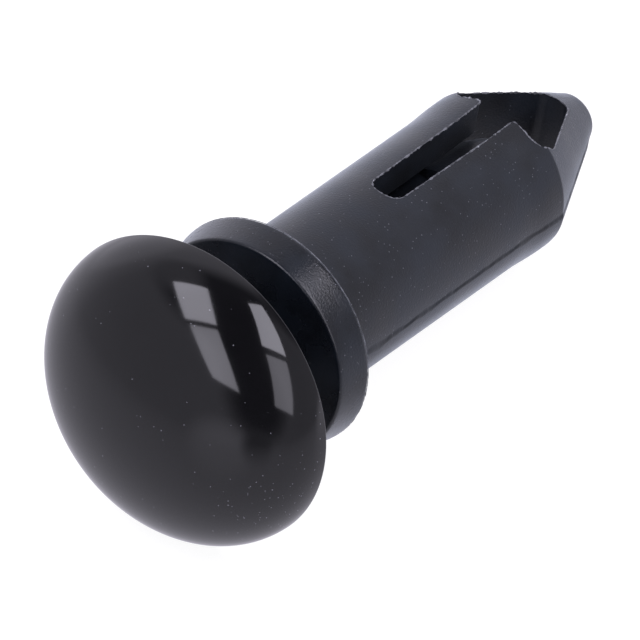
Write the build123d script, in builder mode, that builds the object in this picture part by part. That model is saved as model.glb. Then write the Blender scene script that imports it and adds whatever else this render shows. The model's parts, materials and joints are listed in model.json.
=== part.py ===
import os
from math import asin, atan2, cos, degrees, hypot, radians, sin, sqrt, tan

from build123d import *

# Two-piece push rivet, in millimetres. It lies on its side on a table, +Z up, its head towards -Y
# and its nose towards +Y. A station is a distance along the rivet, from the flange's face under
# the head (0) towards the nose. The plunger stands raised, as it is before it is pushed home.

# Sleeve: shank and flange
shank_d = 5.06
shank_len = 10.5            # from the flange to the nose
ridge_h = 0.055             # the legs thicken a little just before the nose
ridge_rise_len = 0.9
ridge_len = 0.5
flange_d = 7.15             # at the side that meets the panel
flange_t = 1.1
flange_draft = 10.5         # degrees that the flange narrows towards the head
flange_edge_round = 0.1

# Sleeve: closed conical nose
nose_len = 3.9
nose_end_d = 1.45
nose_base_round = 0.12
nose_end_round = 0.25
nose_tip_t = 1.47           # solid plastic beyond the window

# Sleeve: bore for the plunger
bore_d = 3.0
bore_flat_w = 2.5           # across the two flats that keep the plunger from turning
bore_flat_len = 8.8         # the flats end here, and the plunger's shoulders catch behind them
bore_mouth_chamfer = 0.2

# Sleeve: slot between the legs, and the arrow-shaped window that it opens into
slot_setback = 4.6          # from the flange's back to the slot's closed end
slot_w = 1.06
slot_mouth_w = 1.17
slot_end_round = 0.45
leg_corner_round = 0.12     # where the slot opens into the window
window_lead = 0.49          # the window starts this far before the nose
strut_t = 0.61              # wall left between the window and the cone, where the nose starts
strut_end_t = 0.76          # and at the window's end
window_back_round = 0.6
window_tip_round = 0.3

# Plunger: head
head_d = 9.6
head_h = 3.04
head_rim_round = 0.06
raised_gap = 2.53           # under the raised head, and so the plunger's travel

# Plunger: pin
slide_clear = 0.08          # between the pin and the bore, on each side
guide_len = 7.83            # full-width stretch under the head
neck_t = 1.9                # of the flat neck, across the slot
shoulder_clear = 0.2        # behind the bore's flats
lead_in_len = 0.65          # end of the pin, which narrows in the slot's plane
lead_in_angle = 15.0        # degrees
arrow_tip_clear = 0.1       # to the window's end when pushed home
arrow_side_clear = 0.12     # to the struts when pushed home
arrow_tip_round = 0.15

pick_slack = 0.01           # for finding a corner by its place

shank_r = shank_d / 2
ridge_r = shank_r + ridge_h
flange_r = flange_d / 2
nose_end_r = nose_end_d / 2
bore_r = bore_d / 2
head_r = head_d / 2
pin_r = bore_r - slide_clear
pin_flat_w = bore_flat_w - 2 * slide_clear

nose_station = flange_t + shank_len
ridge_station = nose_station - ridge_len
end_station = nose_station + nose_len
slot_station = flange_t + slot_setback
window_station = nose_station - window_lead
window_end_station = end_station - nose_tip_t
nose_slope = (ridge_r - nose_end_r) / nose_len
side_stretch = sqrt(1 + nose_slope ** 2)    # width that a wall square to the cone takes up

head_station = -raised_gap
guide_end_station = head_station + guide_len
shoulder_station = bore_flat_len + shoulder_clear
arrow_end_station = window_end_station - raised_gap - arrow_tip_clear
lead_in_station = arrow_end_station - lead_in_len

# Lying, the rivet touches the table with the round rim of its head and with the two leg ends
# beside the slot, so its axis dips towards the nose.
leg_drop = sqrt(ridge_r ** 2 - (slot_mouth_w / 2) ** 2)
rim_drop = head_r - head_rim_round
contact_run = window_station + raised_gap + head_rim_round
contact_rise = rim_drop - leg_drop
tilt = atan2(contact_rise, contact_run) + asin(head_rim_round / hypot(contact_run, contact_rise))
axis_height = leg_drop * cos(tilt) + window_station * sin(tilt)
head_reach = raised_gap * cos(tilt) + hypot(head_h * cos(tilt), head_r * sin(tilt))
nose_reach = end_station * cos(tilt) + nose_end_r * sin(tilt)

# Length plane: X is across the rivet, Y runs to the nose, and the slot is cut along its normal.
length_plane = Plane(
    origin=(0, (head_reach - nose_reach) / 2, axis_height),
    x_dir=(1, 0, 0),
    z_dir=(0, sin(tilt), cos(tilt)),
)
rivet_axis = Axis(length_plane.origin, length_plane.y_dir)


def cross_plane(station):
    """Plane across the rivet at a station, X across the slot and the normal to the nose."""
    centre = length_plane.from_local_coords((0, station, 0))
    return Plane(origin=centre, x_dir=length_plane.x_dir, z_dir=length_plane.y_dir)


def window_half_width(station):
    """Half the window's width: its side leaves the strut's wall under the cone."""
    run = station - nose_station
    wall = strut_t + (strut_end_t - strut_t) * run / (window_end_station - nose_station)
    return ridge_r - run * nose_slope - wall * side_stretch


def arrow_half_width(station):
    """Half the arrow's width, a clearance inside the window once the plunger is home."""
    return window_half_width(station + raised_gap) - arrow_side_clear * side_stretch


# Sleeve: flange, shank and nose turned as one body, then bored, slotted and given its window
flange_front_r = flange_r - flange_t * tan(radians(flange_draft))
with BuildPart() as sleeve:
    with BuildSketch(length_plane) as sleeve_profile:
        with BuildLine():
            Polyline(
                (0, 0),
                (flange_front_r, 0),
                (flange_r, flange_t),
                (shank_r, flange_t),
                (shank_r, ridge_station - ridge_rise_len),
                (ridge_r, ridge_station),
                (ridge_r, nose_station),
                (nose_end_r, end_station),
                (0, end_station),
                close=True,
            )
        make_face()
        flange_rim = sleeve_profile.vertices().filter_by(lambda v: v.X > flange_front_r - pick_slack)
        fillet(flange_rim, flange_edge_round)
        nose_base = sleeve_profile.vertices().filter_by(lambda v: abs(v.Y - nose_station) < pick_slack)
        fillet(nose_base, nose_base_round)
        nose_end = sleeve_profile.vertices().group_by(Axis.Y)[-1].sort_by(Axis.X)[-1]
        fillet(nose_end, nose_end_round)
    revolve(axis=rivet_axis)

    with BuildSketch(cross_plane(0)):
        Circle(bore_r)
        Rectangle(bore_flat_w, bore_d, mode=Mode.INTERSECT)
    extrude(amount=bore_flat_len, mode=Mode.SUBTRACT)
    with BuildSketch(cross_plane(bore_flat_len)):
        Circle(bore_r)
    extrude(amount=window_station - bore_flat_len + strut_t, mode=Mode.SUBTRACT)
    mouth = sleeve.faces().filter_by(lambda f: f.normal_at().dot(rivet_axis.direction) < -0.99)
    chamfer(mouth.sort_by(rivet_axis)[0].inner_wires().edges(), bore_mouth_chamfer)

    with BuildSketch(length_plane) as opening_outline:
        with BuildLine():
            Polyline(
                (-slot_w / 2, slot_station),
                (slot_w / 2, slot_station),
                (slot_mouth_w / 2, window_station),
                (-slot_mouth_w / 2, window_station),
                close=True,
            )
        make_face()
        back_w = window_half_width(window_station)
        end_w = window_half_width(window_end_station)
        with BuildLine():
            Polyline(
                (-back_w, window_station),
                (back_w, window_station),
                (end_w, window_end_station),
                (-end_w, window_end_station),
                close=True,
            )
        make_face()
        slot_end = opening_outline.vertices().group_by(Axis.Y)[0]
        fillet(slot_end, slot_end_round)
        window_end = opening_outline.vertices().group_by(Axis.Y)[-1]
        fillet(window_end, window_tip_round)
        window_back = opening_outline.vertices().filter_by(lambda v: abs(v.X) > back_w - pick_slack)
        fillet(window_back, window_back_round)
        leg_ends = opening_outline.vertices().filter_by(
            lambda v: abs(v.Y - window_station) < pick_slack and abs(v.X) < slot_mouth_w / 2 + pick_slack
        )
        fillet(leg_ends, leg_corner_round)
    extrude(amount=shank_d, both=True, mode=Mode.SUBTRACT)
sleeve.part.label = "sleeve"

# Plunger's end: an arrow seen through the window, round across the bore, tapered in the slot
with BuildPart() as arrow_end:
    with BuildSketch(length_plane):
        with BuildLine():
            end_r = pin_r - lead_in_len * tan(radians(lead_in_angle))
            Polyline(
                (0, shoulder_station),
                (pin_r, shoulder_station),
                (pin_r, lead_in_station),
                (end_r, arrow_end_station),
                (0, arrow_end_station),
                close=True,
            )
        make_face()
    revolve(axis=rivet_axis)
    with BuildSketch(length_plane) as arrow_outline:
        barb_w = arrow_half_width(shoulder_station)
        tip_w = arrow_half_width(arrow_end_station)
        with BuildLine():
            Polyline(
                (-barb_w, shoulder_station),
                (barb_w, shoulder_station),
                (tip_w, arrow_end_station),
                (-tip_w, arrow_end_station),
                close=True,
            )
        make_face()
        fillet(arrow_outline.vertices().group_by(Axis.Y)[-1], arrow_tip_round)
    extrude(amount=bore_d, both=True, mode=Mode.INTERSECT)

# Plunger: domed head, guide with two flats, thin neck and arrow end, moulded in one piece
with BuildPart() as plunger:
    with BuildSketch(length_plane) as head_profile:
        with BuildLine():
            EllipticalCenterArc((0, head_station), head_r, head_h, start_angle=270, arc_size=90)
            Line((head_r, head_station), (0, head_station))
            Line((0, head_station), (0, head_station - head_h))
        make_face()
        fillet(head_profile.vertices().sort_by(Axis.X)[-1], head_rim_round)
    revolve(axis=rivet_axis)

    with BuildSketch(cross_plane(head_station)):
        Circle(pin_r)
        Rectangle(pin_flat_w, bore_d, mode=Mode.INTERSECT)
    extrude(amount=guide_len)
    with BuildSketch(cross_plane(guide_end_station)):
        Circle(pin_r)
        Rectangle(pin_flat_w, neck_t, mode=Mode.INTERSECT)
    extrude(amount=shoulder_station - guide_end_station)
    add(arrow_end.part)
plunger.part.label = "plunger"

os.makedirs("parts", exist_ok=True)
export_step(sleeve.part, "parts/sleeve.step")
export_step(plunger.part, "parts/plunger.step")

print("axis dips", round(degrees(tilt), 2), "degrees, flange centre at", length_plane.origin)
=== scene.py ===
import bpy
import bmesh
import json
import math
from mathutils import Matrix, Vector


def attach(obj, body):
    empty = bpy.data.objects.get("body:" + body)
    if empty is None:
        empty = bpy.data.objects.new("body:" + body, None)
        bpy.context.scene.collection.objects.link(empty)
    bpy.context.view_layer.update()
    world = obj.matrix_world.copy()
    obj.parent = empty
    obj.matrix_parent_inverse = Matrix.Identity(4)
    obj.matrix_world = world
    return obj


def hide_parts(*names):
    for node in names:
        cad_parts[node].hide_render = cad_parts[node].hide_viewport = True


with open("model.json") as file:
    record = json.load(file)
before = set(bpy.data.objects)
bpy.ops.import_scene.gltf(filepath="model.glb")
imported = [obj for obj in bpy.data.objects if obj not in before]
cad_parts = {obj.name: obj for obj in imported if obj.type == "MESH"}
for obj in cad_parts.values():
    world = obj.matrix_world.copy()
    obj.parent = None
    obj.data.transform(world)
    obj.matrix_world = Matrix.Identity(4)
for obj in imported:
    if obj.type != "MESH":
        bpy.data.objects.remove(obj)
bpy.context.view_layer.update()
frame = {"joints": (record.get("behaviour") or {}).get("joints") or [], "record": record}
mounts = {mount["name"]: mount for mount in frame["record"]["mounts"]}
travel = frame["joints"][0]
print("frame loaded")

mm = 0.001

# Pieces are modelled in millimetres in the rivet's own directions: X across, Y along its axis from
# the flange's front face to the nose, Z out of the slot. place then lays them down in the frame.
flangeThickness = 1.1
axis = Vector(travel["axis"])
tilt = math.asin(-axis.z)
origin = Vector(mounts["flange_back"]["pos_m"])
origin.x = 0
origin -= axis * flangeThickness * mm
place = Matrix.Translation(origin) @ Matrix.Rotation(-tilt, 4, "X") @ Matrix.Scale(mm, 4)

noiseLow, noiseHigh = 0.35, 0.65    # most values of a noise lie between these
faceSlack = 0.02                    # mm, for telling a flat face by its place


def addNode(tree, kind, inputs=None, **settings):
    node = tree.nodes.new(kind)
    for name, value in settings.items():
        setattr(node, name, value)
    for name, value in (inputs or {}).items():
        if isinstance(value, bpy.types.NodeSocket):
            tree.links.new(value, node.inputs[name])
        else:
            node.inputs[name].default_value = value
    return node


def colour(code):
    values = [int(code[i:i + 2], 16) / 255 for i in (1, 3, 5)]
    return [v / 12.92 if v <= 0.04045 else ((v + 0.055) / 1.055) ** 2.4 for v in values] + [1]


def newObject(name, data):
    obj = bpy.data.objects.new(name, data)
    bpy.context.scene.collection.objects.link(obj)
    return obj


def meshObject(name, verts, edges, faces):
    mesh = bpy.data.meshes.new(name)
    mesh.from_pydata(verts, edges, faces)
    return newObject(name, mesh)


# the object with its modifiers made real, as a new plain mesh
def applied(obj):
    name = obj.name
    bpy.context.view_layer.update()
    graph = bpy.context.evaluated_depsgraph_get()
    mesh = bpy.data.meshes.new_from_object(obj.evaluated_get(graph), depsgraph=graph)
    bpy.data.objects.remove(obj)
    mesh.name = name
    return newObject(name, mesh)


def combined(base, tool, operation):
    cut = base.modifiers.new("cut", "BOOLEAN")
    cut.operation = operation
    cut.solver = "EXACT"
    cut.object = tool
    result = applied(base)
    bpy.data.objects.remove(tool)
    return result


def outwards(obj):
    shape = bmesh.new()
    shape.from_mesh(obj.data)
    bmesh.ops.recalc_face_normals(shape, faces=shape.faces)
    shape.to_mesh(obj.data)
    shape.free()
    return obj


# a Geometry Nodes group with named inputs, its common end, and its modifier on an object
def nodeGroup(name, inputs):
    tree = bpy.data.node_groups.new(name, "GeometryNodeTree")
    tree.interface.new_socket("Geometry", in_out="OUTPUT", socket_type="NodeSocketGeometry")
    tree.interface.new_socket("Geometry", in_out="INPUT", socket_type="NodeSocketGeometry")
    for label, kind in inputs.items():
        tree.interface.new_socket(label, in_out="INPUT", socket_type=kind)
    tree.interface.new_socket("Material", in_out="INPUT", socket_type="NodeSocketMaterial")
    return tree, addNode(tree, "NodeGroupInput").outputs


def endGroup(tree, shape, material):
    real = addNode(tree, "GeometryNodeRealizeInstances", {"Geometry": shape})
    dressed = addNode(tree, "GeometryNodeSetMaterial", {"Geometry": real.outputs[0], "Material": material})
    addNode(tree, "NodeGroupOutput", {"Geometry": dressed.outputs[0]})
    return tree


def throughNodes(obj, tree, values):
    modifier = obj.modifiers.new(tree.name, "NODES")
    modifier.node_group = tree
    for item in tree.interface.items_tree:
        if item.in_out == "INPUT" and item.name in values:
            modifier[item.identifier] = values[item.name]
    return applied(obj)


# a flat outline with each of its corners (x, y, radius) rounded
def rounded(corners, closed=False, step=math.radians(7.5)):
    out = []
    count = len(corners)
    for i, (x, y, radius) in enumerate(corners):
        corner = Vector((x, y))
        if not radius or (not closed and i in (0, count - 1)):
            out.append(corner)
            continue
        before = (Vector(corners[i - 1][:2]) - corner).normalized()
        after = (Vector(corners[(i + 1) % count][:2]) - corner).normalized()
        half = before.angle(after) / 2
        centre = corner + (before + after).normalized() * radius / math.sin(half)
        start = corner + before * radius / math.tan(half) - centre
        end = corner + after * radius / math.tan(half) - centre
        sweep = math.atan2(start.cross(end), start.dot(end))
        steps = max(2, round(abs(sweep) / step))
        for k in range(steps + 1):
            turn = Matrix.Rotation(sweep * k / steps, 2)
            out.append(centre + turn @ start)
    return out


# a right half's corners, followed by their mirror images back to the start
def withMirror(corners):
    return corners + [(-x, station, radius) for x, station, radius in reversed(corners)]


# points added so that no step along the outline is longer than the given length
def divided(points, longest):
    out = [Vector(points[0])]
    for point in points[1:]:
        start = out[-1].copy()
        run = Vector(point) - start
        steps = max(1, math.ceil(run.length / longest))
        out += [start + run * (k + 1) / steps for k in range(steps)]
    return out


def turnedTree():
    tree, into = nodeGroup("turnedBody", {"Segments": "NodeSocketInt", "Gather": "NodeSocketFloat"})
    size = addNode(tree, "GeometryNodeAttributeDomainSize", {"Geometry": into["Geometry"]})
    count = size.outputs["Point Count"]
    rows = addNode(tree, "FunctionNodeIntegerMath", {0: count, 1: 1}, operation="SUBTRACT")
    columns = addNode(tree, "FunctionNodeIntegerMath", {0: into["Segments"], 1: 1})
    grid = addNode(tree, "GeometryNodeMeshGrid", {
        "Size X": rows.outputs[0], "Size Y": math.tau, "Vertices X": count, "Vertices Y": columns.outputs[0]})
    spot = addNode(tree, "GeometryNodeInputPosition")
    along = addNode(tree, "ShaderNodeSeparateXYZ", {0: spot.outputs[0]})
    half = addNode(tree, "ShaderNodeMath", {0: rows.outputs[0], 1: 0.5}, operation="MULTIPLY")
    row = addNode(tree, "ShaderNodeMath", {0: along.outputs["X"], 1: half.outputs[0]})
    row = addNode(tree, "FunctionNodeFloatToInt", {0: row.outputs[0]}, rounding_mode="ROUND")
    corner = addNode(tree, "GeometryNodeSampleIndex", {
        "Geometry": into["Geometry"], "Value": spot.outputs[0], "Index": row.outputs[0]},
        data_type="FLOAT_VECTOR", domain="POINT")
    # columns gather at the two sides, where the parting line runs
    double = addNode(tree, "ShaderNodeMath", {0: along.outputs["Y"], 1: 2}, operation="MULTIPLY")
    wave = addNode(tree, "ShaderNodeMath", {0: double.outputs[0]}, operation="SINE")
    pull = addNode(tree, "ShaderNodeMath", {0: wave.outputs[0], 1: into["Gather"]}, operation="MULTIPLY")
    angle = addNode(tree, "ShaderNodeMath", {0: along.outputs["Y"], 1: pull.outputs[0]}, operation="SUBTRACT")
    turn = addNode(tree, "ShaderNodeVectorRotate", {"Vector": corner.outputs[0], "Angle": angle.outputs[0]},
                   rotation_type="Y_AXIS")
    shaped = addNode(tree, "GeometryNodeSetPosition", {
        "Geometry": grid.outputs["Mesh"], "Position": turn.outputs[0]})
    sewn = addNode(tree, "GeometryNodeMergeByDistance", {"Geometry": shaped.outputs[0], "Distance": 0.0001})
    return endGroup(tree, sewn.outputs[0], into["Material"])


turnedBody = turnedTree()


# a closed body turned about the rivet's axis from a profile of (radius, station)
def turned(name, profile, material, segments, gather=0.0):
    line = [(i, i + 1) for i in range(len(profile) - 1)]
    obj = meshObject(name, [(radius, station, 0) for radius, station in profile], line, [])
    values = {"Segments": segments, "Gather": gather, "Material": material}
    return outwards(throughNodes(obj, turnedBody, values))


# an outline in X and Y pushed through from low to high along Z
def prism(name, outline, low, high):
    count = len(outline)
    verts = [(x, station, level) for level in (low, high) for x, station in outline]
    sides = [(i, (i + 1) % count, (i + 1) % count + count, i + count) for i in range(count)]
    ends = [tuple(range(count)), tuple(range(count, 2 * count))]
    return outwards(meshObject(name, verts, [], sides + ends))


# the two halves of the mould don't quite meet: a low ragged step along each side of the shank
def partingTree():
    tree, into = nodeGroup("partingStep", {name: "NodeSocketFloat" for name in (
        "Start", "Full Start", "Full End", "End", "Foot End", "Nose Start", "Nose End", "Inner Radius",
        "Inner End Radius", "Height", "Half Width", "Foot Half Width", "Narrowest", "Widest", "Fade Start",
        "Fade End", "Wander", "Patch Size", "Fineness", "Side Offset")})
    spot = addNode(tree, "GeometryNodeInputPosition").outputs[0]
    x, y, z = addNode(tree, "ShaderNodeSeparateXYZ", {0: spot}).outputs
    flat = addNode(tree, "ShaderNodeCombineXYZ", {"X": x, "Z": z}).outputs[0]
    radius = addNode(tree, "ShaderNodeVectorMath", {0: flat}, operation="LENGTH").outputs["Value"]
    outward = addNode(tree, "ShaderNodeVectorMath", {0: flat}, operation="NORMALIZE").outputs[0]
    inner = addNode(tree, "ShaderNodeMapRange", {
        "Value": y, "From Min": into["Nose Start"], "From Max": into["Nose End"],
        "To Min": into["Inner Radius"], "To Max": into["Inner End Radius"]}).outputs[0]
    skin = addNode(tree, "ShaderNodeMath", {0: radius, 1: inner}, operation="GREATER_THAN").outputs[0]
    start = addNode(tree, "ShaderNodeMapRange", {
        "Value": y, "From Min": into["Start"], "From Max": into["Full Start"]},
        interpolation_type="SMOOTHSTEP").outputs[0]
    end = addNode(tree, "ShaderNodeMapRange", {
        "Value": y, "From Min": into["Full End"], "From Max": into["End"], "To Min": 1.0, "To Max": 0.0},
        interpolation_type="SMOOTHSTEP").outputs[0]
    # the step stands on opposite faces at the two sides, so the distance past it changes sign with X
    side = addNode(tree, "ShaderNodeMath", {0: x}, operation="SIGN").outputs[0]
    down = addNode(tree, "ShaderNodeMath", {0: z, 1: -1.0}, operation="MULTIPLY").outputs[0]
    past = addNode(tree, "ShaderNodeMath", {0: down, 1: side}, operation="MULTIPLY").outputs[0]
    lane = addNode(tree, "ShaderNodeMath", {0: side, 1: into["Side Offset"]},
                   operation="MULTIPLY").outputs[0]
    track = addNode(tree, "ShaderNodeCombineXYZ", {"X": lane, "Y": y}).outputs[0]
    scale = addNode(tree, "ShaderNodeMath", {0: 1.0, 1: into["Patch Size"]}, operation="DIVIDE").outputs[0]
    fine = addNode(tree, "ShaderNodeMath", {0: into["Fineness"], 1: into["Patch Size"]},
                   operation="DIVIDE").outputs[0]
    slow = addNode(tree, "ShaderNodeTexNoise", {
        "Vector": track, "Scale": scale, "Detail": 1.0}).outputs["Fac"]
    quick = addNode(tree, "ShaderNodeTexNoise", {"Vector": track, "Scale": fine, "Detail": 2.0},
                    normalize=False).outputs["Fac"]
    strayed = addNode(tree, "ShaderNodeMath", {0: quick, 1: into["Wander"], 2: past},
                      operation="MULTIPLY_ADD").outputs[0]
    width = addNode(tree, "ShaderNodeMapRange", {
        "Value": y, "From Min": into["Start"], "From Max": into["Foot End"],
        "To Min": into["Foot Half Width"], "To Max": into["Half Width"]},
        interpolation_type="SMOOTHSTEP").outputs[0]
    uneven = addNode(tree, "ShaderNodeMapRange", {
        "Value": slow, "From Min": noiseLow, "From Max": noiseHigh,
        "To Min": into["Narrowest"], "To Max": into["Widest"]}, interpolation_type="SMOOTHSTEP").outputs[0]
    width = addNode(tree, "ShaderNodeMath", {0: width, 1: uneven}, operation="MULTIPLY").outputs[0]
    share = addNode(tree, "ShaderNodeMath", {0: strayed, 1: width}, operation="DIVIDE").outputs[0]
    edge = addNode(tree, "ShaderNodeMapRange", {"Value": share, "From Min": -1.0, "From Max": 1.0},
                   interpolation_type="SMOOTHSTEP").outputs[0]
    fade = addNode(tree, "ShaderNodeMapRange", {
        "Value": past, "From Min": into["Fade Start"], "From Max": into["Fade End"],
        "To Min": 1.0, "To Max": 0.0}, interpolation_type="SMOOTHSTEP").outputs[0]
    height = into["Height"]
    for factor in (skin, start, end, edge, fade):
        height = addNode(tree, "ShaderNodeMath", {0: height, 1: factor}, operation="MULTIPLY").outputs[0]
    move = addNode(tree, "ShaderNodeVectorMath", {0: outward, "Scale": height},
                   operation="SCALE").outputs[0]
    stepped = addNode(tree, "GeometryNodeSetPosition", {"Geometry": into["Geometry"], "Offset": move})
    return endGroup(tree, stepped.outputs[0], into["Material"])


# flash: the thin ragged bead that is squeezed out along an edge of the mould
def flashTree():
    tree, into = nodeGroup("edgeFlash", {
        name: "NodeSocketFloat" for name in ("Spacing", "Lump Size", "Least Size", "Wander", "Seed")})
    curve = addNode(tree, "GeometryNodeMeshToCurve", {"Mesh": into["Geometry"]})
    curve = addNode(tree, "GeometryNodeResampleCurve", {
        "Curve": curve.outputs[0], "Length": into["Spacing"]}, mode="LENGTH")
    spot = addNode(tree, "GeometryNodeInputPosition").outputs[0]
    scale = addNode(tree, "ShaderNodeMath", {0: 1.0, 1: into["Lump Size"]}, operation="DIVIDE").outputs[0]
    lumps = addNode(tree, "ShaderNodeTexNoise", {
        "Vector": spot, "W": into["Seed"], "Scale": scale, "Detail": 3.0}, noise_dimensions="4D")
    thickness, ragged = (
        addNode(tree, "GeometryNodeInputNamedAttribute", {"Name": name}, data_type="FLOAT").outputs[0]
        for name in ("thickness", "ragged"))
    swing = addNode(tree, "ShaderNodeMapRange", {
        "Value": lumps.outputs["Fac"], "From Min": noiseLow, "From Max": noiseHigh,
        "To Min": -1.0, "To Max": 1.0}).outputs[0]
    swing = addNode(tree, "ShaderNodeMath", {0: swing, 1: ragged}, operation="MULTIPLY").outputs[0]
    swing = addNode(tree, "ShaderNodeMath", {0: 1.0, 1: swing}, operation="ADD").outputs[0]
    size = addNode(tree, "ShaderNodeMath", {0: swing, 1: thickness}, operation="MULTIPLY").outputs[0]
    size = addNode(tree, "ShaderNodeMath", {0: size, 1: into["Least Size"]}, operation="MAXIMUM").outputs[0]
    stray = addNode(tree, "ShaderNodeVectorMath", {0: lumps.outputs["Color"], 1: (0.5, 0.5, 0.5)},
                    operation="SUBTRACT").outputs[0]
    reach = addNode(tree, "ShaderNodeMath", {0: ragged, 1: into["Wander"]}, operation="MULTIPLY").outputs[0]
    stray = addNode(tree, "ShaderNodeVectorMath", {0: stray, "Scale": reach}, operation="SCALE").outputs[0]
    curve = addNode(tree, "GeometryNodeSetPosition", {"Geometry": curve.outputs[0], "Offset": stray})
    ring = addNode(tree, "GeometryNodeCurvePrimitiveCircle", {"Resolution": 6, "Radius": 1.0})
    bead = addNode(tree, "GeometryNodeCurveToMesh", {
        "Curve": curve.outputs[0], "Profile Curve": ring.outputs[0], "Scale": size, "Fill Caps": True})
    return endGroup(tree, bead.outputs[0], into["Material"])


partingStep = partingTree()
edgeFlash = flashTree()


# closed paths, each a list of (point, thickness, raggedness), turned into beads
def flash(name, paths, values):
    verts, edges, thickness, ragged = [], [], [], []
    for path in paths:
        first = len(verts)
        verts += [point for point, thick, rough in path]
        thickness += [thick for point, thick, rough in path]
        ragged += [rough for point, thick, rough in path]
        edges += [(first + i, first + (i + 1) % len(path)) for i in range(len(path))]
    obj = meshObject(name, verts, edges, [])
    for label, numbers in (("thickness", thickness), ("ragged", ragged)):
        obj.data.attributes.new(label, "FLOAT", "POINT").data.foreach_set("value", numbers)
    return outwards(throughNodes(obj, edgeFlash, values))


# smoothed, laid in place and given its materials: which says which of them a face has
def finished(obj, materials, which, body, node, sharpAngle=math.radians(35)):
    indices = [which(face.center, face.normal) for face in obj.data.polygons]
    obj.data.transform(place)
    obj.data.materials.clear()
    for material in materials:
        obj.data.materials.append(material)
    for face, index in zip(obj.data.polygons, indices):
        face.use_smooth = True
        face.material_index = index
    obj.data.set_sharp_from_angle(angle=sharpAngle)
    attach(obj, body)
    if node:
        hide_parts(node)


# Black nylon 6, moulded in a spark-eroded cavity: satin, with a fine even grain, slightly clouded,
# and pale dust held in the grain, which lightens it where it is seen at a low angle.
satin = {
    "dark": "#090c11",
    "light": "#11171f",
    "ior": 1.45,                # nylon has about 1.53, less under its dusty skin
    "roughness": (0.42, 0.52),
    "flangeShine": 0.6,         # share of the roughness on the flange, which is smoother
    "film": "#c6ced6",          # of the thin layer of dust
    "filmWeight": 0.9,
    "cloudSize": 1.4,           # mm, of one cloud
    "grainSize": 0.06,          # mm, of one pit: drawn coarser than the real grain, which is too fine to show
    "grainDepth": 0.008,
    "dust": "#5e6066",
    "dustSpacing": 0.115,       # mm, of the cells that may hold a speck
    "dustRadius": 0.022,        # mm, of the widest speck
    "dustShare": (0.60, 0.85, 1.0),  # of the cells that hold a speck, where it lies thin, thick and thickest
    "dustyPlace": (2.1, 3.0, 1.3),   # where it lies thickest
}
# Where less dust reaches: on the pin and under the head, and least in the bore, slot and window. These copies
# of the satin are also darker there as painted shade, through their weaker film and fewer specks
covered = {**satin, "filmWeight": 0.35, "dustShare": (0.15, 0.30, 0.30)}
sheltered = {**satin, "filmWeight": 0.14, "dustShare": (0.15, 0.30, 0.30)}
# The same nylon from a polished cavity: glossy, with the long shallow waves that moulding leaves
polish = {
    "dark": "#060608",
    "light": "#09090b",
    "ior": 1.46,
    "roughness": (0.065, 0.095),
    "flangeShine": 1.0,
    "film": "#c6ced6",
    "filmWeight": 0.0,
    "cloudSize": 2.5,
    "grainSize": 1.6,           # here of one wave
    "grainDepth": 0.003,
    "dust": "#66676d",
    "dustSpacing": 0.12,
    "dustRadius": 0.026,
    "dustShare": (0.06, 0.16, 0.95),
    "dustyPlace": (4.2, -3.7, -1.1),
}
# Flash is the same satin nylon, squeezed out thin: it catches the light, with no clouds to speak of, and its
# pale colour is partly pale dust caught on the edges and partly a painted highlight along them
flashDustAndHighlight = {
    "dark": "#36383c",
    "light": "#74767c",
    "ior": 1.5,
    "roughness": (0.36, 0.46),
    "flangeShine": 1.0,
    "film": "#c6ced6",
    "filmWeight": 0.30,
    "cloudSize": 0.25,
    "grainSize": 0.04,
    "grainDepth": 0.006,
    "dust": "#c4c5ca",
    "dustSpacing": 0.10,
    "dustRadius": 0.028,
    "dustShare": (0.25, 0.55, 0.55),
    "dustyPlace": (2.1, 3.0, 1.3),
}
filmRoughness = 0.33
shineBlend = 0.1                # mm, in which the flange's smoother skin turns into the shank's
driftSize = 3.0                 # mm, of one stretch where dust has gathered
driftBand = (0.4, 0.6)          # of that noise, from where dust lies thin to where it lies thick
dustyReach = (1.0, 2.6)         # mm from the dustiest place, within which it's thickest and where it ends


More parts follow.
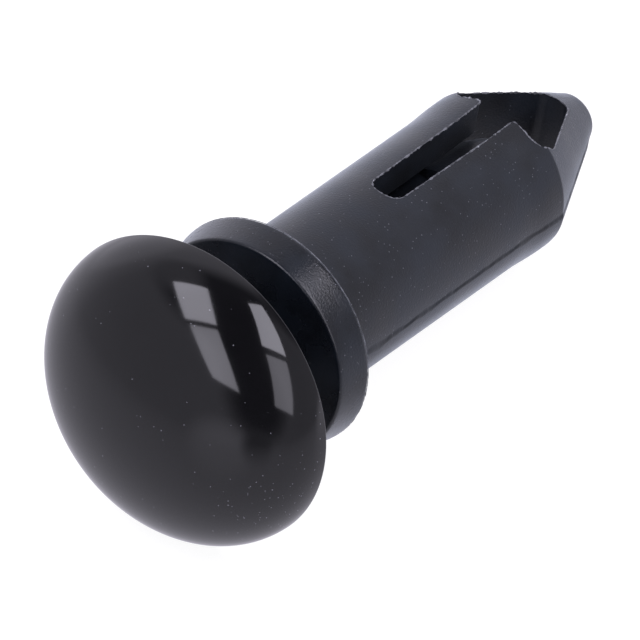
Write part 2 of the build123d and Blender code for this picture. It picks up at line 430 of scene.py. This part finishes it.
# patterns lie in the rivet's own millimetres
def mouldedNylon(name, finish):
    material = bpy.data.materials.new(name)
    material.use_nodes = True
    tree = material.node_tree
    tree.nodes.clear()
    laid = addNode(tree, "ShaderNodeTexCoord").outputs["Object"]
    where = addNode(tree, "ShaderNodeMapping", {
        "Vector": laid, "Location": origin, "Rotation": (-tilt, 0, 0), "Scale": (mm, mm, mm)},
        vector_type="TEXTURE").outputs[0]
    cloud = addNode(tree, "ShaderNodeTexNoise", {
        "Vector": where, "Scale": 1 / finish["cloudSize"], "Detail": 3.0}).outputs["Fac"]
    cloudy = addNode(tree, "ShaderNodeMapRange", {
        "Value": cloud, "From Min": noiseLow, "From Max": noiseHigh}).outputs[0]
    base = addNode(tree, "ShaderNodeMix", {
        0: cloudy, 6: colour(finish["dark"]), 7: colour(finish["light"])}, data_type="RGBA").outputs[2]

    # specks of dust: one in some of the cells, of a different size in each, and more in some places
    thin, thick, thickest = finish["dustShare"]
    drift = addNode(tree, "ShaderNodeTexNoise", {"Vector": where, "Scale": 1 / driftSize, "Detail": 1.0})
    spread = addNode(tree, "ShaderNodeMapRange", {
        "Value": drift.outputs["Fac"], "From Min": driftBand[0], "From Max": driftBand[1],
        "To Min": thin, "To Max": thick}).outputs[0]
    apart = addNode(tree, "ShaderNodeVectorMath", {0: where, 1: finish["dustyPlace"]}, operation="DISTANCE")
    near = addNode(tree, "ShaderNodeMapRange", {
        "Value": apart.outputs["Value"], "From Min": dustyReach[0], "From Max": dustyReach[1],
        "To Min": thickest, "To Max": 0.0}).outputs[0]
    share = addNode(tree, "ShaderNodeMath", {0: spread, 1: near}, operation="MAXIMUM").outputs[0]
    bare = addNode(tree, "ShaderNodeMath", {0: 1.0, 1: share}, operation="SUBTRACT").outputs[0]
    cells = addNode(tree, "ShaderNodeTexVoronoi", {"Vector": where, "Scale": 1 / finish["dustSpacing"]})
    chance = addNode(tree, "ShaderNodeSeparateColor", {0: cells.outputs["Color"]}).outputs[0]
    widest = finish["dustRadius"] / finish["dustSpacing"]
    reach = addNode(tree, "ShaderNodeMapRange", {
        "Value": chance, "From Min": bare, "From Max": 1.0, "To Max": widest}).outputs[0]
    inside = addNode(tree, "ShaderNodeMath", {0: reach, 1: cells.outputs["Distance"]},
                     operation="SUBTRACT").outputs[0]
    dust = addNode(tree, "ShaderNodeMapRange", {"Value": inside, "From Max": widest / 3},
                   interpolation_type="SMOOTHSTEP").outputs[0]
    dusty = addNode(tree, "ShaderNodeMix", {0: dust, 6: base, 7: colour(finish["dust"])},
                    data_type="RGBA").outputs[2]

    grain = addNode(tree, "ShaderNodeTexNoise", {
        "Vector": where, "Scale": 1 / finish["grainSize"], "Detail": 2.0}).outputs["Fac"]
    relief = addNode(tree, "ShaderNodeBump", {
        "Strength": 1.0, "Distance": finish["grainDepth"] * mm, "Height": grain}).outputs[0]
    low, high = finish["roughness"]
    rough = addNode(tree, "ShaderNodeMapRange", {
        "Value": cloud, "From Min": noiseLow, "From Max": noiseHigh,
        "To Min": low, "To Max": high}).outputs[0]
    station = addNode(tree, "ShaderNodeSeparateXYZ", {0: where}).outputs["Y"]
    shine = addNode(tree, "ShaderNodeMapRange", {
        "Value": station, "From Min": flangeThickness, "From Max": flangeThickness + shineBlend,
        "To Min": finish["flangeShine"], "To Max": 1.0}).outputs[0]
    rough = addNode(tree, "ShaderNodeMath", {0: rough, 1: shine}, operation="MULTIPLY").outputs[0]
    shader = addNode(tree, "ShaderNodeBsdfPrincipled", {
        "Base Color": dusty, "IOR": finish["ior"], "Roughness": rough, "Normal": relief,
        "Sheen Weight": finish["filmWeight"], "Sheen Roughness": filmRoughness,
        "Sheen Tint": colour(finish["film"])})
    addNode(tree, "ShaderNodeOutputMaterial", {"Surface": shader.outputs[0]})
    return material


satinNylon = mouldedNylon("satinNylon", satin)
# copies with less film and fewer specks: less dust, and painted shade where the parts lie in shadow
shadedCoveredNylon = mouldedNylon("shadedCoveredNylon", covered)
shadedShelteredNylon = mouldedNylon("shadedShelteredNylon", sheltered)
polishedNylon = mouldedNylon("polishedNylon", polish)
flashNylonDustAndHighlight = mouldedNylon("flashNylonDustAndHighlight", flashDustAndHighlight)
print("materials made")

sleeve = {
    "shankRadius": mounts["shank"]["dims"]["r_mm"],
    "shankLength": 10.5,
    "ridgeHeight": 0.055,       # the legs thicken a little just before the nose
    "ridgeRise": 0.9,
    "ridgeLength": 0.5,
    "ridgeRound": 8,            # its rise bends this gently
    "flangeRadius": 3.575,      # at the back, which meets the panel
    "flangeDraft": math.radians(10.5),
    "flangeRound": 0.1,
    "footRound": 0.08,          # where the shank leaves the flange
    "noseLength": 3.9,
    "noseEndRadius": 0.725,
    "noseBaseRound": 0.12,
    "noseEndRound": 0.25,
    "noseTip": 1.12,            # solid plastic beyond the window
    "boreRadius": 1.5,
    "boreFlats": 2.5,           # across the two flats that keep the plunger from turning
    "boreFlatLength": 8.8,
    "mouthChamfer": 0.2,
    "slotStart": 5.7,           # station of its closed end
    "slotWidth": 1.06,
    "slotMouth": 1.17,
    "slotEndRound": 0.45,
    "legRound": 0.12,
    "windowLead": 0.37,
    "strut": 0.665,             # wall beside the window, where the nose starts
    "strutEnd": 0.715,          # and at the window's end
    "windowBackRound": 0.55,
    "windowTipRound": 0.3,
    "rowStep": 0.10,
    "segments": 288,
    "arcStep": math.radians(12),
    "gather": 0.35,             # how far the columns move towards the parting lines
    "cutReach": 4,              # mm that the opening's tool reaches each way, past the surface
}
noseStart = flangeThickness + sleeve["shankLength"]
noseEnd = noseStart + sleeve["noseLength"]
windowStart = noseStart - sleeve["windowLead"]
windowEnd = noseEnd - sleeve["noseTip"]
ridgeRadius = sleeve["shankRadius"] + sleeve["ridgeHeight"]
ridgeStart = noseStart - sleeve["ridgeLength"]
slope = (ridgeRadius - sleeve["noseEndRadius"]) / sleeve["noseLength"]


# how far the outside is from the axis, and the window's side from its middle
def outerRadius(station):
    if station > noseStart:
        return ridgeRadius - (station - noseStart) * slope
    risen = min(1, max(0, (station - ridgeStart) / sleeve["ridgeRise"] + 1))
    return sleeve["shankRadius"] + sleeve["ridgeHeight"] * risen


def windowHalf(station):
    run = station - noseStart
    wall = sleeve["strut"] + (sleeve["strutEnd"] - sleeve["strut"]) * run / (windowEnd - noseStart)
    return ridgeRadius - run * slope - wall * math.hypot(1, slope)


frontRadius = sleeve["flangeRadius"] - flangeThickness * math.tan(sleeve["flangeDraft"])
corners = [
    (0, 0, 0),
    (frontRadius, 0, sleeve["flangeRound"]),
    (sleeve["flangeRadius"], flangeThickness, sleeve["flangeRound"]),
    (sleeve["shankRadius"], flangeThickness, sleeve["footRound"]),
    (sleeve["shankRadius"], ridgeStart - sleeve["ridgeRise"], sleeve["ridgeRound"]),
    (ridgeRadius, ridgeStart, sleeve["ridgeRound"]),
    (ridgeRadius, noseStart, sleeve["noseBaseRound"]),
    (sleeve["noseEndRadius"], noseEnd, sleeve["noseEndRound"]),
    (0, noseEnd, 0),
]
profile = divided(rounded(corners, step=sleeve["arcStep"]), sleeve["rowStep"])
body = turned("mouldedSleeve", profile, satinNylon, sleeve["segments"], sleeve["gather"])

openingSide = [
    (sleeve["slotWidth"] / 2, sleeve["slotStart"], sleeve["slotEndRound"]),
    (sleeve["slotMouth"] / 2, windowStart, sleeve["legRound"]),
    (windowHalf(windowStart), windowStart, sleeve["windowBackRound"]),
    (windowHalf(windowEnd), windowEnd, sleeve["windowTipRound"]),
]
opening = rounded(withMirror(openingSide), closed=True)
body = combined(body, prism("opening", opening, -sleeve["cutReach"], sleeve["cutReach"]), "DIFFERENCE")


# the bore as a solid: chamfered mouth, two flats that stand across X, then round to its end
def boreTool():
    radius = sleeve["boreRadius"]
    flat = sleeve["boreFlats"] / 2
    chamfer = sleeve["mouthChamfer"]
    lead = 0.05                 # so that the tool starts outside the flange's face
    arcSteps, sideSteps = 40, 16
    corner = math.acos(flat / radius)

    def keyedRing(level, grown):
        start = math.acos((flat + grown) / (radius + grown))
        angles = [start + (math.pi - 2 * start) * k / arcSteps for k in range(arcSteps + 1)]
        points = [((radius + grown) * math.cos(turn), (radius + grown) * math.sin(turn)) for turn in angles]
        points += [(-x, -z) for x, z in points]
        return [(x, level, z) for x, z in points]

    def sideArc(level, middle):
        angles = [middle - corner + 2 * corner * k / sideSteps for k in range(1, sideSteps)]
        return [(radius * math.cos(turn), level, radius * math.sin(turn)) for turn in angles]

    verts = keyedRing(-lead, chamfer + lead) + keyedRing(chamfer, 0) + keyedRing(sleeve["boreFlatLength"], 0)
    count = 2 * (arcSteps + 1)
    faces = [tuple(range(count))]
    for base in (0, count):
        faces += [(base + i, base + (i + 1) % count, base + count + (i + 1) % count, base + count + i)
                  for i in range(count)]
    # beyond the flats the bore is round: each side's arc joins the two arcs between the flats
    upper = list(range(2 * count, 2 * count + arcSteps + 1))
    lower = list(range(upper[-1] + 1, 3 * count))
    left = list(range(3 * count, 3 * count + sideSteps - 1))
    right = list(range(left[-1] + 1, left[-1] + sideSteps))
    verts += sideArc(sleeve["boreFlatLength"], math.pi) + sideArc(sleeve["boreFlatLength"], 0)
    faces += [(upper[-1], *left, lower[0]), (lower[-1], *right, upper[0])]
    around = upper + left + lower + right
    far = len(verts)
    total = len(around)
    verts += [(verts[i][0], windowStart + sleeve["strut"], verts[i][2]) for i in around]
    faces += [(around[i], around[(i + 1) % total], far + (i + 1) % total, far + i) for i in range(total)]
    faces.append(tuple(range(far, far + total)))
    return outwards(meshObject("bore", verts, [], faces))


body = combined(body, boreTool(), "DIFFERENCE")

parting = {
    "height": 0.045,            # of the step, where the mould's halves are out of line
    "rise": 0.12,               # from the flange to its full height
    "fall": (0.9, 0.3),         # before the nose's end, where its full height ends and where it does
    "halfWidth": 0.065,
    "footHalfWidth": 0.14,      # it starts wider at the flange
    "footLength": 3.5,
    "uneven": (0.5, 1.6),       # shares of the width, where it's narrowest and widest
    "fade": (0.3, 1.4),         # past the step, where the shank comes back to its round
    "wander": 0.06,
    "patchSize": 1.2,
    "fineness": 5.0,            # times finer than a patch is the edge's own raggedness
    "sideOffset": 7.3,          # in the noise, so that the two sides differ
    "skin": 0.2,                # only what lies this near the surface is moved
}
body = throughNodes(body, partingStep, {
    "Start": flangeThickness, "Full Start": flangeThickness + parting["rise"],
    "Full End": noseEnd - parting["fall"][0], "End": noseEnd - parting["fall"][1],
    "Foot End": flangeThickness + parting["footLength"], "Nose Start": noseStart, "Nose End": noseEnd,
    "Inner Radius": sleeve["shankRadius"] - parting["skin"],
    "Inner End Radius": sleeve["noseEndRadius"] - parting["skin"], "Height": parting["height"],
    "Half Width": parting["halfWidth"], "Foot Half Width": parting["footHalfWidth"],
    "Narrowest": parting["uneven"][0], "Widest": parting["uneven"][1],
    "Fade Start": parting["fade"][0], "Fade End": parting["fade"][1], "Wander": parting["wander"],
    "Patch Size": parting["patchSize"], "Fineness": parting["fineness"],
    "Side Offset": parting["sideOffset"], "Material": satinNylon})


# 1 on the flange's front face, in the bore and on the walls of the slot and window: these take the darker
# copy of the satin, painted shade as well as less dust
def shelteredPart(middle, normal, boreSlack=0.3, leastOutward=0.5):
    radius = math.hypot(middle.x, middle.z)
    outward = (middle.x * normal.x + middle.z * normal.z) / radius
    front = middle.y < faceSlack
    bore = radius < sleeve["boreRadius"] + boreSlack and middle.y < windowStart + sleeve["strut"] + faceSlack
    wall = outward < leastOutward and \
        flangeThickness + sleeve["flangeRound"] < middle.y < windowEnd + faceSlack
    return int(front or bore or wall)


finished(body, [satinNylon, shadedShelteredNylon], shelteredPart, "sleeve", "sleeve")
print("sleeve made:", len(body.data.polygons), "faces")

# flash along the slot and window, on the upper and the under side, and around the flange's back
sleeveFlash = {
    "thickness": 0.021,
    "nearRagged": 0.8,          # on the leg at +X on the upper side, and at -X on the under side
    "farRagged": 1.1,
    "rimThickness": 0.012,
    "rimRagged": 0.4,
    "rimSteps": 240,
    "sunk": 0.006,              # how deep the bead's middle lies under the surface
    "pathStep": 0.1,
    "spacing": 0.03,
    "lumpSize": 0.11,
    "leastSize": 0.002,
    "wander": 0.035,
    "seed": 4.0,
}
paths = []
for face in (1, -1):
    path = []
    for x, station in divided(opening + opening[:1], sleeveFlash["pathStep"])[:-1]:
        radius = outerRadius(station) - sleeveFlash["sunk"]
        point = (x, station, face * math.sqrt(radius ** 2 - x ** 2))
        ragged = sleeveFlash["nearRagged" if x * face > 0 else "farRagged"]
        path.append((point, sleeveFlash["thickness"], ragged))
    paths.append(path)
inset = sleeve["flangeRound"] * (1 - math.sqrt(0.5))
rimRadius = sleeve["flangeRadius"] - inset
turns = [math.tau * k / sleeveFlash["rimSteps"] for k in range(sleeveFlash["rimSteps"])]
paths.append([((rimRadius * math.cos(turn), flangeThickness - inset, rimRadius * math.sin(turn)),
               sleeveFlash["rimThickness"], sleeveFlash["rimRagged"]) for turn in turns])
# the bead's pale colour is partly dust and partly a painted highlight along the edges
bead = flash("sleeveFlash", paths, {
    "Spacing": sleeveFlash["spacing"], "Lump Size": sleeveFlash["lumpSize"],
    "Least Size": sleeveFlash["leastSize"], "Wander": sleeveFlash["wander"], "Seed": sleeveFlash["seed"],
    "Material": flashNylonDustAndHighlight})
finished(bead, [flashNylonDustAndHighlight], lambda middle, normal: 0, "sleeve", None)
print("sleeve flash made:", len(bead.data.polygons), "faces")

plunger = {
    "headRadius": 4.8,
    "headHeight": 3.04,
    "headRimRound": 0.06,
    "raisedGap": 2.53,          # under the raised head
    "slideClear": 0.08,
    "guideLength": 7.83,
    "neckThickness": 1.9,
    "shoulderClear": 0.2,
    "leadInLength": 0.7,
    "leadInAngle": math.radians(15),
    "arrowTipClear": 0.3,
    "arrowSideClear": 0.12,
    "arrowTipRound": 0.15,
    "edgeRound": 0.03,
    "edgeAngle": math.radians(40),  # edges sharper than this are rounded
    "rootDepth": 0.5,           # how far the pin reaches up into the head
    "settled": (0.045, 0, -0.060),  # the pin lies on the lower side of the bore, within its clearance
    "domeRows": 96,
    "rimRows": 10,
    "headStep": 0.2,
    "segments": 288,
    "pinStep": 0.5,
    "pinSegments": 128,
    "cutReach": 2,              # mm that the pin's tools reach each way, past its surface
}
pinRadius = sleeve["boreRadius"] - plunger["slideClear"]
pinHalf = sleeve["boreFlats"] / 2 - plunger["slideClear"]
headStart = -plunger["raisedGap"]
guideEnd = headStart + plunger["guideLength"]
shoulder = sleeve["boreFlatLength"] + plunger["shoulderClear"]
arrowEnd = windowEnd - plunger["raisedGap"] - plunger["arrowTipClear"]
leadIn = arrowEnd - plunger["leadInLength"]
tipRadius = pinRadius - plunger["leadInLength"] * math.tan(plunger["leadInAngle"])


def arrowHalf(station):
    return windowHalf(station + plunger["raisedGap"]) - plunger["arrowSideClear"] * math.hypot(1, slope)


# dome as a quarter ellipse, meeting the flat underside in a small round
def domePoint(k):
    turn = math.pi / 2 * k / plunger["domeRows"]
    return plunger["headRadius"] * math.sin(turn), headStart - plunger["headHeight"] * math.cos(turn)


def rimPoint(k):
    turn = math.radians(90 * k / plunger["rimRows"])
    return (plunger["headRadius"] - plunger["headRimRound"] * (1 - math.cos(turn)),
            headStart - plunger["headRimRound"] * (1 - math.sin(turn)))


dome = [domePoint(k) for k in range(plunger["domeRows"] + 1)]
headProfile = [point for point in dome if point[1] < headStart - plunger["headRimRound"]]
headProfile += [rimPoint(k) for k in range(plunger["rimRows"] + 1)] + [(0, headStart)]
head = turned("mouldedPlunger", divided(headProfile, plunger["headStep"]), polishedNylon, plunger["segments"])

rootStart = headStart - plunger["rootDepth"]
pinProfile = [(0, rootStart), (pinRadius, rootStart), (pinRadius, leadIn), (tipRadius, arrowEnd),
              (0, arrowEnd)]
pin = turned("pin", divided(pinProfile, plunger["pinStep"]), shadedCoveredNylon, plunger["pinSegments"])
pinSide = [
    (pinHalf, rootStart - plunger["rootDepth"], 0),
    (pinHalf, shoulder, 0),
    (arrowHalf(shoulder), shoulder, 0),
    (arrowHalf(arrowEnd), arrowEnd, plunger["arrowTipRound"]),
]
reach = plunger["cutReach"]
pinOutline = rounded(withMirror(pinSide), closed=True)
pin = combined(pin, prism("pinOutline", pinOutline, -reach, reach), "INTERSECT")
besideNeck = [(-reach, guideEnd), (reach, guideEnd), (reach, shoulder), (-reach, shoulder)]
for way in (-1, 1):
    low, high = sorted((way * plunger["neckThickness"] / 2, way * reach))
    pin = combined(pin, prism("besideNeck", besideNeck, low, high), "DIFFERENCE")
bevel = pin.modifiers.new("edgeRound", "BEVEL")
bevel.width = plunger["edgeRound"]
bevel.segments = 2
bevel.limit_method = "ANGLE"
bevel.angle_limit = plunger["edgeAngle"]
head = combined(head, applied(pin), "UNION")
head.data.transform(Matrix.Translation(plunger["settled"]))


# 1 on the pin and the head's flat underside, which take the darker copy with painted shade and less dust:
# only the dome is polished
def unpolishedPart(middle, normal):
    return int(middle.y > headStart - faceSlack)


finished(head, [polishedNylon, shadedCoveredNylon], unpolishedPart, "plunger", "plunger")
print("plunger made:", len(head.data.polygons), "faces")


def direction(azimuth, elevation):
    turn, rise = math.radians(azimuth), math.radians(elevation)
    return Vector((math.sin(turn) * math.cos(rise), math.cos(turn) * math.cos(rise), math.sin(rise)))


# a long lens from far off; aimPixel is where the flange's front centre falls in a 640 pixel picture
view = {"towards": (144.078, 46.668), "roll": 3.735, "lens": 1200.0, "sensor": 36.0, "pixels": 640,
        "pixelsPerMm": 35.163, "aimPixel": (246.25, 346.36)}
backward = direction(*view["towards"])
horizontal = Vector((0, 0, 1)).cross(backward).normalized()
rightward = Matrix.Rotation(math.radians(view["roll"]), 3, backward) @ horizontal
upward = backward.cross(rightward)
pixel = mm / view["pixelsPerMm"]
aim = origin + rightward * (view["pixels"] / 2 - view["aimPixel"][0]) * pixel \
    + upward * (view["aimPixel"][1] - view["pixels"] / 2) * pixel
distance = view["lens"] / view["sensor"] * view["pixels"] * pixel
camera = newObject("camera", bpy.data.cameras.new("camera"))
camera.data.lens = view["lens"]
camera.data.sensor_width = view["sensor"]
camera.data.clip_start = 0.01
camera.data.clip_end = 10
stand = Matrix((rightward, upward, backward)).transposed().to_4x4()
stand.translation = aim + backward * distance
camera.matrix_world = stand
bpy.context.scene.camera = camera

studio = {
    "tint": "#f4f1ff",          # of the lamps, the room and the paper's reflection
    "lampDistance": 0.5,
    "paper": "#e8e8e8",         # as it lights the rivet
    "paperShade": "#7c7c7c",    # as the camera sees it: near white, with a faint shadow
    "paperGlow": 0.9,
    "paperHalf": 2,             # m, of its side
    # the paper's reflection is dimmer near the rivet than far from it: a painted shadow
    "floor": 0.84,              # level of its reflection, near the rivet and far from it
    "floorFar": 1.0,
    "sweepStart": 0.006,        # m from the middle, where the paper starts to turn into the wall
    "sweepEnd": 0.05,
    "wall": 0.74,
    "ceiling": 0.12,
    "cornice": (0.60, 0.80),    # sines of the heights between which the wall turns into the ceiling
}

# the panes of a window: directions in degrees and across and along each pane, sizes for 1 m away
lamps = {
    "leftUpper": {
        "towards": (-147.35, 61.40), "size": (0.424, 0.578), "level": 6.3,
        "across": (0.842, 0.462, 0.279), "along": (-0.498, 0.865, 0.069)},
    "leftLower": {
        "towards": (169.73, 33.82), "size": (0.436, 0.686), "level": 4.1,
        "across": (0.631, 0.729, -0.264), "along": (-0.636, 0.681, 0.362)},
    "rightUpper": {
        "towards": (53.88, 59.94), "size": (0.370, 0.852), "level": 6.2,
        "across": (0.209, 0.755, -0.622), "along": (-0.263, 0.656, 0.708)},
    "rightLower": {
        "towards": (102.78, 26.03), "size": (0.400, 0.660), "level": 2.8,
        "across": (0.326, 0.835, -0.443), "along": (-0.509, 0.550, 0.662)},
}
for name, lamp in lamps.items():
    light = bpy.data.lights.new(name, "AREA")
    light.shape = "RECTANGLE"
    light.size, light.size_y = (studio["lampDistance"] * side for side in lamp["size"])
    light.energy = lamp["level"] * math.pi * light.size * light.size_y
    light.color = colour(studio["tint"])[:3]
    obj = newObject(name, light)
    across, along = Vector(lamp["across"]), Vector(lamp["along"])
    stand = Matrix((across, along, across.cross(along))).transposed().to_4x4()
    stand.translation = direction(*lamp["towards"]) * studio["lampDistance"]
    obj.matrix_world = stand
    obj.visible_camera = False

half = studio["paperHalf"]
floor = meshObject("floor", [(-half, -half, 0), (half, -half, 0), (half, half, 0), (-half, half, 0)], [],
                   [(0, 1, 2, 3)])
paper = bpy.data.materials.new("paperFloor")
paper.use_nodes = True
tree = paper.node_tree
tree.nodes.clear()
ray = addNode(tree, "ShaderNodeLightPath").outputs
direct = addNode(tree, "ShaderNodeMath", {0: ray["Is Camera Ray"], 1: ray["Is Transmission Ray"]},
                 operation="MAXIMUM").outputs[0]
pale = addNode(tree, "ShaderNodeBsdfDiffuse", {"Color": colour(studio["paper"])}).outputs[0]
faint = addNode(tree, "ShaderNodeBsdfDiffuse", {"Color": colour(studio["paperShade"])}).outputs[0]
glow = addNode(tree, "ShaderNodeEmission", {"Color": colour("#ffffff"), "Strength": studio["paperGlow"]})
white = addNode(tree, "ShaderNodeAddShader", {0: faint, 1: glow.outputs[0]}).outputs[0]
spot = addNode(tree, "ShaderNodeTexCoord").outputs["Object"]
away = addNode(tree, "ShaderNodeVectorMath", {0: spot}, operation="LENGTH").outputs["Value"]
# in a reflection the paper is a plain glow, dimmer near the rivet as a painted shadow
lit = addNode(tree, "ShaderNodeMapRange", {
    "Value": away, "From Min": studio["sweepStart"], "From Max": studio["sweepEnd"] / 2,
    "To Min": studio["floor"], "To Max": studio["floorFar"]}).outputs[0]
mirrored = addNode(tree, "ShaderNodeEmission", {"Color": colour(studio["tint"]), "Strength": lit}).outputs[0]
# in a reflection the paper curves up into the room, with no line where it ends
far = addNode(tree, "ShaderNodeMapRange", {
    "Value": away, "From Min": studio["sweepStart"], "From Max": studio["sweepEnd"]},
    interpolation_type="SMOOTHSTEP").outputs[0]
clear = addNode(tree, "ShaderNodeBsdfTransparent").outputs[0]
swept = addNode(tree, "ShaderNodeMixShader", {0: far, 1: mirrored, 2: clear}).outputs[0]
mixed = addNode(tree, "ShaderNodeMixShader", {0: direct, 1: pale, 2: white}).outputs[0]
mixed = addNode(tree, "ShaderNodeMixShader", {0: ray["Is Glossy Ray"], 1: mixed, 2: swept}).outputs[0]
addNode(tree, "ShaderNodeOutputMaterial", {"Surface": mixed})
floor.data.materials.append(paper)

# the room that the lamps stand in: each patch is a direction, its radius in degrees, how wide its soft
# edge is, and its level
patches = [
    ((79, 17), 40, 20, 0.58),
    ((-37, -2), 62, 12, 1.0),
    ((-66, 10), 22, 6, 1.3),
    ((133, 18), 23, 10, 0.11),
    ((22, 30), 16, 8, 0.2),
    ((136, 42), 18, 14, 0.10),
    ((144, 74), 24, 12, 0.10),
    ((-95, 55), 14, 10, 0.6),
    ((161, -17), 13, 9, 1.35),
    ((138, -12), 8, 7, 0.3),
    ((50, -24), 16, 8, 1.8),
]
world = bpy.data.worlds.new("studio")
bpy.context.scene.world = world
world.use_nodes = True
tree = world.node_tree
tree.nodes.clear()
spot = addNode(tree, "ShaderNodeTexCoord").outputs["Generated"]
height = addNode(tree, "ShaderNodeSeparateXYZ", {0: spot}).outputs["Z"]
level = addNode(tree, "ShaderNodeMapRange", {
    "Value": height, "From Min": studio["cornice"][0], "From Max": studio["cornice"][1],
    "To Min": studio["wall"], "To Max": studio["ceiling"]}, interpolation_type="SMOOTHSTEP").outputs[0]
for towards, radius, soft, value in patches:
    near = addNode(tree, "ShaderNodeVectorMath", {0: spot, 1: direction(*towards)},
                   operation="DOT_PRODUCT").outputs["Value"]
    mask = addNode(tree, "ShaderNodeMapRange", {
        "Value": near, "From Min": math.cos(math.radians(radius + soft)),
        "From Max": math.cos(math.radians(radius - soft))}, interpolation_type="SMOOTHSTEP").outputs[0]
    level = addNode(tree, "ShaderNodeMix", {0: mask, 2: level, 3: value}).outputs[0]
ray = addNode(tree, "ShaderNodeLightPath").outputs
direct = addNode(tree, "ShaderNodeMath", {0: ray["Is Camera Ray"], 1: ray["Is Transmission Ray"]},
                 operation="MAXIMUM").outputs[0]
room = addNode(tree, "ShaderNodeBackground", {"Color": colour(studio["tint"]), "Strength": level}).outputs[0]
blank = addNode(tree, "ShaderNodeBackground", {"Color": colour("#ffffff"), "Strength": 1.0}).outputs[0]
mixed = addNode(tree, "ShaderNodeMixShader", {0: direct, 1: room, 2: blank}).outputs[0]
addNode(tree, "ShaderNodeOutputWorld", {"Surface": mixed})
bpy.context.scene.view_settings.view_transform = "Standard"
print("studio made:", len(lamps), "lamps and", len(patches), "patches of light")
